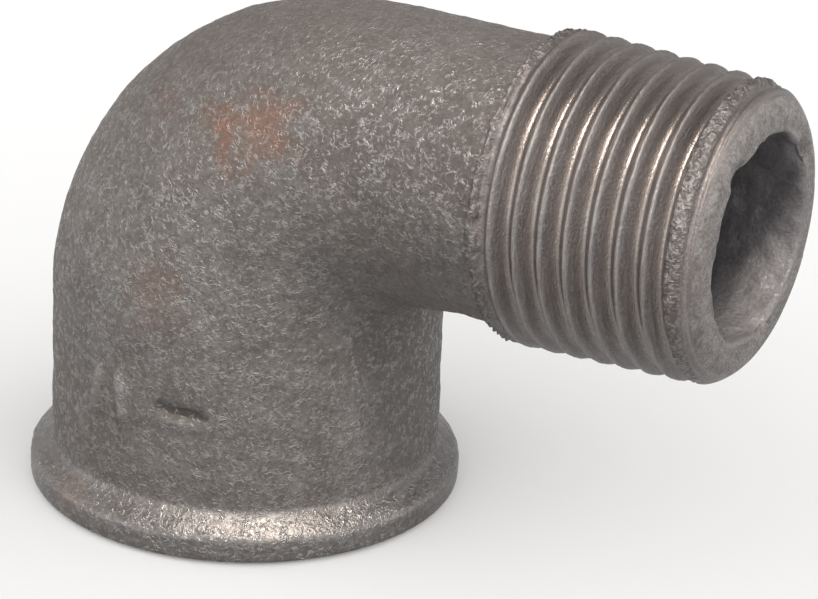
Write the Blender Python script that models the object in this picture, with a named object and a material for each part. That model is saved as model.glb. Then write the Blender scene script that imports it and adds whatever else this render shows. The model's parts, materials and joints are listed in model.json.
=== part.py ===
"""A street elbow: a 90 degree pipe fitting in malleable cast iron, with one female and one male end.

It is one casting with two pipe threads of the 1/2 size cut in it: a parallel female thread in the
beaded socket, and a taper male thread on the spigot. The elbow stands on its female end face. The
origin is the middle of that face, +Z runs up the socket's axis, and the spigot's axis runs along +X.

The skin is made of columns of points at the same angles from end to end, so that every stretch of it
meets the next one point for point: up the outside, in through the spigot's bore and out of the socket.
"""

import math

import bmesh
import bpy
from mathutils import Vector

MM = 0.001
INCH = 25.4 * MM
QUARTER_TURN = math.pi / 2

# Overall sizes: from each end face to the other end's axis.
FEMALE_CENTRE_TO_FACE = 28.0 * MM
MALE_CENTRE_TO_FACE = 40.0 * MM

# The pipe thread that both ends share: 55 degree form, 14 threads to the inch.
THREAD_PITCH = INCH / 14
THREAD_MAJOR_RADIUS = 20.955 * MM / 2
THREAD_DEPTH_PER_PITCH = 0.640327
THREAD_FLANK_ANGLE = math.radians(27.5)

# Socket: a body with a reinforcing bead round its mouth. The wall is what stands over the grooves.
SOCKET_WALL = 3.97 * MM
SOCKET_DRAFT = 0.12 * MM
SOCKET_MOUTH_CLEARANCE = 0.5 * MM
SOCKET_PLAIN_BORE_LENGTH = 4.15 * MM
FEMALE_RUNOUT_TURNS = 1.2
BEAD_PROJECTION = 1.65 * MM
BEAD_EDGE_ROUNDING = 0.3 * MM
BEAD_SIDE_HEIGHT = 1.4 * MM
BEAD_SHOULDER_HEIGHT = 1.9 * MM

# Bend: how the outside rounds the crotch and the heel, and how the passage does.
CROTCH_RADIUS = 2.6 * MM
HEEL_FULLNESS = 1.1 * MM
PASSAGE_CROTCH_RADIUS = 3.0 * MM
PASSAGE_HEEL_FULLNESS = 0.5 * MM
BEND_EASE = 0.88

# Spigot: a plain neck, then the thread up to a rounded end. The wall is what is left under the
# grooves at the end face, and the land is the width of that face.
SPIGOT_WALL = 2.06 * MM
NECK_LENGTH = 6.87 * MM
NECK_STEP = 0.78 * MM
NECK_STEP_LENGTH = 0.6 * MM
MALE_GAUGE_LENGTH = 8.2 * MM
MALE_RADIUS_TAPER = 1 / 32
MALE_RUNOUT_TURNS = 1.2
MALE_END_LENGTH = 1.95 * MM
MALE_END_LAND = 1.13 * MM
MALE_END_ROUNDNESS = 1.6
BORE_EDGE_CHAMFER = 0.25 * MM

# Where on a turn each thread's first groove is cut, as a share of the pitch.
MALE_THREAD_PHASE = 0.81
FEMALE_THREAD_PHASE = 0.2

# Fineness of the mesh.
COLUMNS = 40
BEND_STEPS = 12
PASSAGE_STEPS = 9
EDGE_STEPS = 3
SHOULDER_STEPS = 6
THREAD_END_GAP = 0.2 * MM
SHARP_EDGE_ANGLE = math.radians(30)

ANGLES = [2 * math.pi * column / COLUMNS for column in range(COLUMNS)]

THREAD_DEPTH = THREAD_PITCH * THREAD_DEPTH_PER_PITCH
FLANK_LENGTH = THREAD_DEPTH * math.tan(THREAD_FLANK_ANGLE)
FLAT_LENGTH = THREAD_PITCH / 2 - FLANK_LENGTH
# Along one pitch: the corners of a groove's flat floor, then those of the crest, with the depth at each.
THREAD_CORNERS = (
    (0.0, 1.0),
    (FLAT_LENGTH, 1.0),
    (FLAT_LENGTH + FLANK_LENGTH, 0.0),
    (2 * FLAT_LENGTH + FLANK_LENGTH, 0.0),
)

THREAD_MINOR_RADIUS = THREAD_MAJOR_RADIUS - THREAD_DEPTH
MOUTH_RADIUS = THREAD_MAJOR_RADIUS + SOCKET_MOUTH_CLEARANCE
BODY_RADIUS = THREAD_MAJOR_RADIUS + SOCKET_WALL
BODY_TOP_RADIUS = BODY_RADIUS - SOCKET_DRAFT
BEAD_RADIUS = BODY_RADIUS + BEAD_PROJECTION

END_CREST_RADIUS = THREAD_MAJOR_RADIUS - MALE_GAUGE_LENGTH * MALE_RADIUS_TAPER
BORE_RADIUS = END_CREST_RADIUS - THREAD_DEPTH - SPIGOT_WALL
BORE_MOUTH_RADIUS = BORE_RADIUS + BORE_EDGE_CHAMFER
MALE_FACE_RADIUS = BORE_MOUTH_RADIUS + MALE_END_LAND

MALE_THREAD_START = BODY_TOP_RADIUS + CROTCH_RADIUS + NECK_LENGTH
MALE_THREAD_LENGTH = MALE_CENTRE_TO_FACE - MALE_THREAD_START
NECK_RADIUS = END_CREST_RADIUS + MALE_THREAD_LENGTH * MALE_RADIUS_TAPER - NECK_STEP
PASSAGE_START = FEMALE_CENTRE_TO_FACE - BORE_RADIUS - PASSAGE_CROTCH_RADIUS
FEMALE_THREAD_STOP = PASSAGE_START - SOCKET_PLAIN_BORE_LENGTH


def eased(share):
    """A share from 0 to 1, held inside that range, that starts and stops gently."""
    share = min(max(share, 0.0), 1.0)
    return share * share * (3 - 2 * share)


def on_socket(height, radius, angle):
    """A point round the socket's axis. The angle starts on the crotch side, +X."""
    return Vector((radius * math.cos(angle), radius * math.sin(angle), height))


def on_spigot(reach, radius, angle):
    """A point round the spigot's axis. The angle starts on the crotch side, straight down."""
    drop = radius * math.cos(angle)
    return Vector((reach, radius * math.sin(angle), FEMALE_CENTRE_TO_FACE - drop))


def ring(bm, place, along, radius):
    """A round ring of points about one limb's axis."""
    return [bm.verts.new(place(along, radius, angle)) for angle in ANGLES]


def band(bm, first, second):
    """Quads between two rings."""
    for column in range(COLUMNS):
        after = (column + 1) % COLUMNS
        bm.faces.new((first[column], first[after], second[after], second[column]))


def bands(bm, rings):
    """Quads between each ring and the next."""
    for first, second in zip(rings, rings[1:]):
        band(bm, first, second)


def bend_rings(bm, crotch, start_radius, end_radius, heel_fullness, steps):
    """Rings that turn from the socket's limb into the spigot's about a pivot inside the crotch.

    Each ring is an oval whose near side stays on the crotch's round and whose far side makes the heel.
    """
    pivot = Vector((start_radius + crotch, 0, FEMALE_CENTRE_TO_FACE - end_radius - crotch))
    rings = []
    for step in range(steps + 1):
        swing = QUARTER_TURN * step / steps
        away = Vector((-math.cos(swing), 0, math.sin(swing)))
        half_width = start_radius + (end_radius - start_radius) * eased((step / steps) ** BEND_EASE)
        half_reach = half_width + heel_fullness * math.sin(2 * swing) ** 2 / 2
        centre = pivot + away * (crotch + half_reach)
        rings.append([
            bm.verts.new(
                centre - away * (half_reach * math.cos(angle))
                + Vector((0, half_width * math.sin(angle), 0))
            )
            for angle in ANGLES
        ])
    return rings


def bead_profile():
    """(height, radius) up the outside, from the end face over the bead to the body."""
    profile = []
    for step in range(EDGE_STEPS + 1):
        turn = QUARTER_TURN * step / EDGE_STEPS
        height = BEAD_EDGE_ROUNDING * (1 - math.cos(turn))
        profile.append((height, BEAD_RADIUS - BEAD_EDGE_ROUNDING * (1 - math.sin(turn))))
    for step in range(SHOULDER_STEPS + 1):
        share = step / SHOULDER_STEPS
        height = BEAD_SIDE_HEIGHT + BEAD_SHOULDER_HEIGHT * share
        profile.append((height, BEAD_RADIUS + (BODY_RADIUS - BEAD_RADIUS) * eased(share)))
    return profile


def male_crest_radius(reach):
    """Radius of the taper over the thread's crests."""
    return END_CREST_RADIUS + (MALE_CENTRE_TO_FACE - reach) * MALE_RADIUS_TAPER


def male_end_radius(reach):
    """Radius of the rounded end, which cuts the last crests down to the end face."""
    share = (reach - MALE_CENTRE_TO_FACE + MALE_END_LENGTH) / MALE_END_LENGTH
    if share <= 0:
        return math.inf
    kept = (1 - min(share, 1.0) ** MALE_END_ROUNDNESS) ** (1 / MALE_END_ROUNDNESS)
    shoulder = male_crest_radius(MALE_CENTRE_TO_FACE - MALE_END_LENGTH)
    return MALE_FACE_RADIUS + (shoulder - MALE_FACE_RADIUS) * kept


def male_radius(reach, depth_share):
    """Radius of the spigot's outside where the thread is depth_share of its full depth."""
    past_start = reach - MALE_THREAD_START
    crest = male_crest_radius(reach)
    blank = NECK_RADIUS + (crest - NECK_RADIUS) * eased(past_start / NECK_STEP_LENGTH)
    cut = THREAD_DEPTH * eased(past_start / (MALE_RUNOUT_TURNS * THREAD_PITCH)) * depth_share
    return min(blank - cut, male_end_radius(reach))


def female_radius(height, depth_share):
    """Radius of the socket's inside where the thread is depth_share of its full depth."""
    left = FEMALE_THREAD_STOP - height
    cut = THREAD_DEPTH * eased(left / (FEMALE_RUNOUT_TURNS * THREAD_PITCH)) * depth_share
    return max(THREAD_MINOR_RADIUS + cut, MOUTH_RADIUS - height)


def thread_column(bm, place, radius_at, start, stop, angle, phase):
    """The points of one column of a right-hand thread, as (place along the axis, point) pairs."""
    lead = THREAD_PITCH * (phase + angle / (2 * math.pi))
    first_turn = math.floor((start - lead) / THREAD_PITCH)
    turns = math.ceil((stop - start) / THREAD_PITCH) + 2
    column = []
    for turn in range(first_turn, first_turn + turns):
        for offset, depth_share in THREAD_CORNERS:
            along = lead + turn * THREAD_PITCH + offset
            if start + THREAD_END_GAP < along < stop - THREAD_END_GAP:
                point = bm.verts.new(place(along, radius_at(along, depth_share), angle))
                column.append((along, point))
    return column


def zip_columns(bm, left, right, rise):
    """Triangles between two columns, where a corner sits `rise` further along in the right one."""
    at_left = at_right = 0
    while at_left < len(left) - 1 or at_right < len(right) - 1:
        base = (left[at_left][1], right[at_right][1])
        if at_right == len(right) - 1:
            step_left = True
        elif at_left == len(left) - 1:
            step_left = False
        else:
            step_left = left[at_left + 1][0] <= right[at_right + 1][0] - rise / 2
        if step_left:
            at_left += 1
            bm.faces.new((*base, left[at_left][1]))
        else:
            at_right += 1
            bm.faces.new((*base, right[at_right][1]))


def thread(bm, place, radius_at, start, stop, start_ring, stop_ring, phase):
    """The threaded stretch of one limb, between two plain rings."""
    columns = []
    for angle, first, last in zip(ANGLES, start_ring, stop_ring):
        middle = thread_column(bm, place, radius_at, start, stop, angle, phase)
        columns.append([(start, first), *middle, (stop, last)])
    for column in range(COLUMNS):
        zip_columns(bm, columns[column], columns[(column + 1) % COLUMNS], THREAD_PITCH / COLUMNS)


def elbow_mesh():
    """The whole casting as one closed skin."""
    bm = bmesh.new()

    # Up the outside: bead, body, bend and neck.
    outside = [ring(bm, on_socket, height, radius) for height, radius in bead_profile()]
    outside += bend_rings(
        bm, CROTCH_RADIUS, BODY_TOP_RADIUS, NECK_RADIUS, HEEL_FULLNESS, BEND_STEPS
    )
    neck_end = MALE_THREAD_START - THREAD_PITCH / 2
    outside.append(ring(bm, on_spigot, neck_end, NECK_RADIUS))
    bands(bm, outside)

    # The male thread, to the rounded end, and the end face.
    face_edge = ring(bm, on_spigot, MALE_CENTRE_TO_FACE, MALE_FACE_RADIUS)
    thread(
        bm, on_spigot, male_radius, neck_end, MALE_CENTRE_TO_FACE, outside[-1], face_edge,
        MALE_THREAD_PHASE,
    )

    # Back through the spigot's bore and round the passage.
    bore_mouth = ring(bm, on_spigot, MALE_CENTRE_TO_FACE, BORE_MOUTH_RADIUS)
    bore_start = ring(bm, on_spigot, MALE_CENTRE_TO_FACE - BORE_EDGE_CHAMFER, BORE_RADIUS)
    passage = bend_rings(
        bm, PASSAGE_CROTCH_RADIUS, THREAD_MINOR_RADIUS, BORE_RADIUS, PASSAGE_HEEL_FULLNESS,
        PASSAGE_STEPS,
    )
    bore_step = FEMALE_THREAD_STOP + THREAD_PITCH / 4
    thread_end = ring(bm, on_socket, bore_step, THREAD_MINOR_RADIUS)
    bands(bm, [face_edge, bore_mouth, bore_start, *reversed(passage), thread_end])

    # Down the female thread to its mouth, and across the female end face.
    mouth = ring(bm, on_socket, 0, MOUTH_RADIUS)
    thread(bm, on_socket, female_radius, 0, bore_step, mouth, thread_end, FEMALE_THREAD_PHASE)
    band(bm, mouth, outside[0])

    bmesh.ops.triangulate(bm, faces=bm.faces[:])
    bmesh.ops.recalc_face_normals(bm, faces=bm.faces[:])
    mesh = bpy.data.meshes.new("elbow_casting")
    bm.to_mesh(mesh)
    bm.free()
    mesh.shade_smooth()
    mesh.set_sharp_from_angle(angle=SHARP_EDGE_ANGLE)
    return mesh


def cast_iron():
    """Black malleable iron: a dull grey-brown skin with a metal's sheen."""
    material = bpy.data.materials.new("black_malleable_iron")
    material.use_nodes = True
    shader = material.node_tree.nodes["Principled BSDF"]
    shader.inputs["Base Color"].default_value = (0.19, 0.175, 0.165, 1)
    shader.inputs["Metallic"].default_value = 0.7
    shader.inputs["Roughness"].default_value = 0.55
    return material


def main():
    """Clears the scene and builds the elbow."""
    for old in list(bpy.data.objects):
        bpy.data.objects.remove(old)
    casting = bpy.data.objects.new("elbow_casting", elbow_mesh())
    casting.data.materials.append(cast_iron())
    bpy.context.scene.collection.objects.link(casting)


main()
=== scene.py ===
"""The looks of a street elbow: its cast skin, its two cut threads, its faced ends, and a plain studio.

Sizes are in metres unless a name says otherwise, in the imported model's frame: the origin is the middle of
the female end face, +Z runs up the socket's axis, and +X runs out along the spigot's axis.
"""

from __future__ import annotations

import json
import logging
import math
from abc import ABC, abstractmethod
from dataclasses import dataclass, field
from enum import Enum
from typing import Any, Callable, Mapping, Sequence

import bmesh
import bpy
from mathutils import Matrix, Vector

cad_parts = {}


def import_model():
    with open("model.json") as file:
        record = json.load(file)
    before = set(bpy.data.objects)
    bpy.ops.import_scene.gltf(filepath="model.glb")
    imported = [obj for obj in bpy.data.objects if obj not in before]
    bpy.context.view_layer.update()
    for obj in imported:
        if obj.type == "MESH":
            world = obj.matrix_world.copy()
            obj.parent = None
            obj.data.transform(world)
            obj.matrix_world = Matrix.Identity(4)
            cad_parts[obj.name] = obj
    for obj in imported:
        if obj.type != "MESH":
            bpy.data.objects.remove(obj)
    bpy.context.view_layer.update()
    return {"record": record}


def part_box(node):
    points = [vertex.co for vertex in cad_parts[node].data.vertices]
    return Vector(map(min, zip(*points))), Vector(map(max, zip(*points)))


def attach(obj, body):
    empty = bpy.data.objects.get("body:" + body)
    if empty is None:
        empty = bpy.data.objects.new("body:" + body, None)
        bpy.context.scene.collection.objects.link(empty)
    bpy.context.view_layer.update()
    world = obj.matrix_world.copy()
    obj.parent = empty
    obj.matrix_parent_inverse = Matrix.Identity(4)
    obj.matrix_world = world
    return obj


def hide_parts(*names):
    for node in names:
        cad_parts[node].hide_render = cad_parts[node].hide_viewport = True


LOG = logging.getLogger("street_elbow")

MM = 0.001
QUARTER_TURN = math.pi / 2
CAD_NODE = "elbow_casting"
BODY = "root"

Colour = tuple[float, float, float]
Ring = list[int]
Column = list[tuple[float, int]]


class Zone(Enum):
    """Stretches of the casting's skin that are finished in one way."""

    CAST = 0
    THREAD = 1
    FACED = 2
    CORED = 3


class Mark(Enum):
    """Names of the skin's attributes, which the trees and the finishes read."""

    ZONE = "zone"
    MALE = "male_thread"
    FEMALE = "female_thread"
    SAND = "sand_skin"
    CORE = "core_skin"
    MOUTH = "bore_mouth"
    GROOVE = "groove"
    TORN = "torn"
    RELIEF = "relief"


def eased(share: float) -> float:
    """Turns a share from 0 to 1 into one that starts and stops gently.

    Args:
        share: Any number. It is held between 0 and 1.

    Returns:
        The eased share.
    """
    share = min(max(share, 0.0), 1.0)
    return share * share * (3 - 2 * share)


@dataclass
class Graph:
    """A node tree while it is written. Each method adds a node and gives its output."""

    tree: bpy.types.NodeTree

    def feed(self, socket: bpy.types.NodeSocket, value: Any) -> None:
        """Links or sets one input.

        Args:
            socket: The input.
            value: Another node's output, or a plain value.
        """
        if isinstance(value, bpy.types.NodeSocket):
            self.tree.links.new(value, socket)
        else:
            socket.default_value = value

    def add(self, kind: str, inputs: Mapping[Any, Any] | None = None, **settings: Any) -> bpy.types.Node:
        """Adds a node.

        Args:
            kind: The node's type name.
            inputs: Input names or numbers, with what each one gets.
            **settings: The node's own properties.

        Returns:
            The node.
        """
        node = self.tree.nodes.new(kind)
        for name, setting in settings.items():
            setattr(node, name, setting)
        for key, value in (inputs or {}).items():
            self.feed(node.inputs[key], value)
        return node

    def math(self, operation: str, *values: Any, clamp: bool = False) -> bpy.types.NodeSocket:
        """A Math node on one, two or three values."""
        node = self.add("ShaderNodeMath", dict(enumerate(values)), operation=operation, use_clamp=clamp)
        return node.outputs[0]

    def vector(self, operation: str, *values: Any) -> bpy.types.NodeSocket:
        """A Vector Math node whose answer is a vector."""
        node = self.add("ShaderNodeVectorMath", dict(enumerate(values)), operation=operation)
        return node.outputs["Vector"]

    def measure(self, operation: str, *values: Any) -> bpy.types.NodeSocket:
        """A Vector Math node whose answer is a number, such as DOT_PRODUCT or LENGTH."""
        node = self.add("ShaderNodeVectorMath", dict(enumerate(values)), operation=operation)
        return node.outputs["Value"]

    def scaled(self, vector: Any, scale: Any) -> bpy.types.NodeSocket:
        """A vector times a number."""
        node = self.add("ShaderNodeVectorMath", {"Vector": vector, "Scale": scale}, operation="SCALE")
        return node.outputs["Vector"]

    def step(self, value: Any, low: Any, high: Any) -> bpy.types.NodeSocket:
        """A gentle step from 0 at low to 1 at high."""
        inputs = {"Value": value, "From Min": low, "From Max": high}
        return self.add("ShaderNodeMapRange", inputs, interpolation_type="SMOOTHSTEP").outputs["Result"]

    def noise(
        self, vector: Any, scale: Any, detail: float = 2.0, seed: Any = 0.0, **more: Any
    ) -> bpy.types.NodeSocket:
        """Noise from 0 to 1 in four dimensions, the fourth being the seed.

        Args:
            vector: Where it is read.
            scale: How many lumps there are to one unit of the vector.
            detail: How many finer layers it has.
            seed: Picks one of many patterns.
            **more: The node's other inputs, in small letters.

        Returns:
            The noise.
        """
        inputs = {"Vector": vector, "W": seed, "Scale": scale, "Detail": detail}
        inputs.update({name.capitalize(): value for name, value in more.items()})
        return self.add("ShaderNodeTexNoise", inputs, noise_dimensions="4D").outputs[0]

    def blend(self, share: Any, first: Any, second: Any) -> bpy.types.NodeSocket:
        """A number between two."""
        return self.add("ShaderNodeMix", {0: share, 2: first, 3: second}, data_type="FLOAT").outputs[0]

    def tint(self, share: Any, first: Any, second: Any) -> bpy.types.NodeSocket:
        """A colour between two."""
        inputs = {0: share, 6: opaque(first), 7: opaque(second)}
        return self.add("ShaderNodeMix", inputs, data_type="RGBA").outputs[2]


def opaque(colour: Any) -> Any:
    """Gives a plain colour its alpha, and leaves a node's output as it is."""
    return colour if isinstance(colour, bpy.types.NodeSocket) else (*colour, 1.0)


@dataclass
class GeometryTree:
    """A Geometry Nodes tree with named inputs, and the modifier that runs it."""

    name: str
    tree: bpy.types.NodeTree = field(init=False)
    graph: Graph = field(init=False)
    entry: bpy.types.Node = field(init=False)

    def __post_init__(self) -> None:
        """Makes the tree with its geometry sockets."""
        self.tree = bpy.data.node_groups.new(self.name, "GeometryNodeTree")
        for direction in ("INPUT", "OUTPUT"):
            self.tree.interface.new_socket("Geometry", in_out=direction, socket_type="NodeSocketGeometry")
        self.graph = Graph(self.tree)
        self.entry = self.graph.add("NodeGroupInput")

    def ask(self, name: str, kind: str, default: Any) -> bpy.types.NodeSocket:
        """Adds a named input.

        Args:
            name: The input's name.
            kind: Float, Vector or Int.
            default: Its value.

        Returns:
            The socket that gives the input's value inside the tree.
        """
        socket = self.tree.interface.new_socket(name, in_out="INPUT", socket_type=f"NodeSocket{kind}")
        socket.default_value = default
        return self.entry.outputs[name]

    def attribute(self, mark: Mark, kind: str = "FLOAT") -> bpy.types.NodeSocket:
        """Reads one of the skin's attributes."""
        node = self.graph.add("GeometryNodeInputNamedAttribute", {"Name": mark.value}, data_type=kind)
        return node.outputs["Attribute"]

    def store(self, geometry: Any, mark: Mark, value: Any) -> bpy.types.NodeSocket:
        """Writes one of the skin's attributes on its points.

        Args:
            geometry: The skin.
            mark: The attribute.
            value: What each point gets.

        Returns:
            The skin with the attribute.
        """
        inputs = {"Geometry": geometry, "Name": mark.value, "Value": value}
        node = self.graph.add("GeometryNodeStoreNamedAttribute", inputs, data_type="FLOAT", domain="POINT")
        return node.outputs["Geometry"]

    def end(self, geometry: Any, finishes: Mapping[Zone, bpy.types.Material]) -> None:
        """Ends the tree: instances made real, then each zone's material.

        Args:
            geometry: What the tree has made.
            finishes: The material of each zone.
        """
        geometry = self.graph.add("GeometryNodeRealizeInstances", {"Geometry": geometry}).outputs[0]
        zone = self.attribute(Mark.ZONE, "INT")
        for place, finish in finishes.items():
            pair = {2: zone, 3: place.value}
            chosen = self.graph.add("FunctionNodeCompare", pair, data_type="INT", operation="EQUAL")
            inputs = {"Geometry": geometry, "Selection": chosen.outputs[0], "Material": finish}
            geometry = self.graph.add("GeometryNodeSetMaterial", inputs).outputs[0]
        self.graph.add("NodeGroupOutput", {"Geometry": geometry})

    def run(self, piece: bpy.types.Object, values: Mapping[str, Any]) -> None:
        """Runs the tree on a piece, and leaves the result as the piece's plain mesh.

        Args:
            piece: The object that gets the result.
            values: Values of the named inputs.
        """
        modifier = piece.modifiers.new(self.name, "NODES")
        modifier.node_group = self.tree
        for item in self.tree.interface.items_tree:
            if item.in_out == "INPUT" and item.name in values:
                modifier[item.identifier] = values[item.name]
        graph = bpy.context.evaluated_depsgraph_get()
        shown = piece.evaluated_get(graph)
        made = bpy.data.meshes.new_from_object(shown, preserve_all_data_layers=True, depsgraph=graph)
        piece.modifiers.remove(modifier)
        before, piece.data = piece.data, made
        bpy.data.meshes.remove(before)


@dataclass
class Skin:
    """The casting's skin while it is woven: points, the faces between them, and the marks they carry."""

    points: list[Vector] = field(default_factory=list)
    marks: dict[Mark, dict[int, float]] = field(default_factory=dict)
    faces: list[tuple[int, ...]] = field(default_factory=list)
    zones: list[int] = field(default_factory=list)

    def point(self, place: Vector, marks: Mapping[Mark, float]) -> int:
        """Adds a point with its marks.

        Args:
            place: Where it is.
            marks: What it carries.

        Returns:
            Its number.
        """
        number = len(self.points)
        self.points.append(place)
        for mark, value in marks.items():
            self.marks.setdefault(mark, {})[number] = value
        return number

    def face(self, corners: tuple[int, ...], zone: Zone) -> None:
        """Adds one face."""
        self.faces.append(corners)
        self.zones.append(zone.value)

    def band(self, first: Ring, second: Ring, zone: Zone) -> None:
        """Adds quads between two rings of as many points.

        Args:
            first: One ring.
            second: The ring next to it.
            zone: The faces' zone.
        """
        for column, start in enumerate(first):
            after = (column + 1) % len(first)
            self.face((start, first[after], second[after], second[column]), zone)

    def halve(self, wide: Ring, narrow: Ring, zone: Zone) -> None:
        """Adds triangles between a ring and one with half its points.

        Args:
            wide: The ring with more points.
            narrow: The ring with half as many.
            zone: The faces' zone.
        """
        for column, start in enumerate(narrow):
            after = narrow[(column + 1) % len(narrow)]
            left, middle, right = (wide[(2 * column + step) % len(wide)] for step in range(3))
            self.face((left, middle, start), zone)
            self.face((middle, after, start), zone)
            self.face((middle, right, after), zone)

    def zip(self, left: Column, right: Column, rise: float, zone: Callable[[float], Zone]) -> None:
        """Adds triangles between two columns of a thread.

        Args:
            left: The first column, as (place along the axis, point) pairs.
            right: The column one step further round.
            rise: How much further along a corner sits in the right column.
            zone: Gives the zone at a place along the axis.
        """
        at_left = at_right = 0
        while at_left < len(left) - 1 or at_right < len(right) - 1:
            base = (left[at_left][1], right[at_right][1])
            if at_right == len(right) - 1:
                take_left = True
            elif at_left == len(left) - 1:
                take_left = False
            else:
                take_left = left[at_left + 1][0] <= right[at_right + 1][0] - rise / 2
            if take_left:
                at_left += 1
                along, new = left[at_left]
            else:
                at_right += 1
                along, new = right[at_right]
            self.face((*base, new), zone(along))

    def mesh(self, name: str) -> bpy.types.Mesh:
        """Makes the mesh.

        Args:
            name: The mesh's name.

        Returns:
            The mesh, with its marks as attributes.
        """
        mesh = bpy.data.meshes.new(name)
        mesh.from_pydata(self.points, [], self.faces)
        mesh.update()
        for mark, values in self.marks.items():
            layer = mesh.attributes.new(mark.value, "FLOAT", "POINT")
            layer.data.foreach_set("value", [values.get(number, 0.0) for number in range(len(self.points))])
        layer = mesh.attributes.new(Mark.ZONE.value, "INT", "FACE")
        layer.data.foreach_set("value", self.zones)
        mesh.shade_smooth()
        return mesh


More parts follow.
